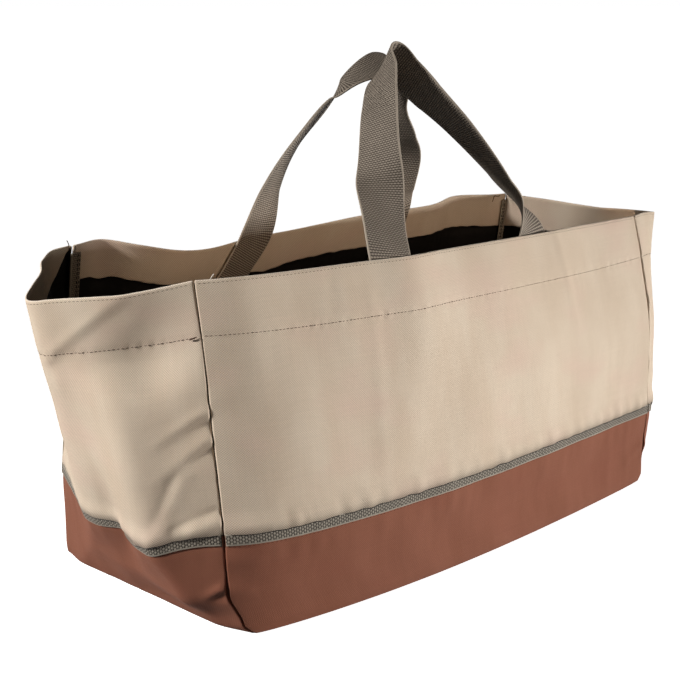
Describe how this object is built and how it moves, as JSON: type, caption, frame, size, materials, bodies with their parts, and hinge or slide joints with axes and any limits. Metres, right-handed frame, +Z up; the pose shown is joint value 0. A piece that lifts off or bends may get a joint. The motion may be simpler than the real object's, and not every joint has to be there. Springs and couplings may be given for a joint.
{
  "type": "log carrier",
  "caption": "Open-topped rectangular tote bag of tan cloth on a folded brown base, with seam tape and webbing carry handles, for carrying firewood.",
  "frame": {"origin": "middle of the underside of the base, on the floor", "axes": "+X along the bag, +Y from its front to its back, +Z up"},
  "size_m": [0.6405, 0.2593, 0.4103],
  "materials": {
    "tan_cloth": "matt woven polyester",
    "brown_cloth": "matt woven polyester",
    "webbing": "ribbed webbing"
  },
  "bodies": {
    "root": {"base_tub": "brown_cloth", "front_panel": "tan_cloth", "right_end_panel": "tan_cloth", "back_panel": "tan_cloth", "left_end_panel": "tan_cloth", "front_tape": "webbing", "right_tape": "webbing", "back_tape": "webbing", "left_tape": "webbing", "front_left_binding": "webbing", "front_right_binding": "webbing", "back_right_binding": "webbing", "back_left_binding": "webbing", "front_handle": "webbing", "back_handle": "webbing"}
  },
  "joints": []
}
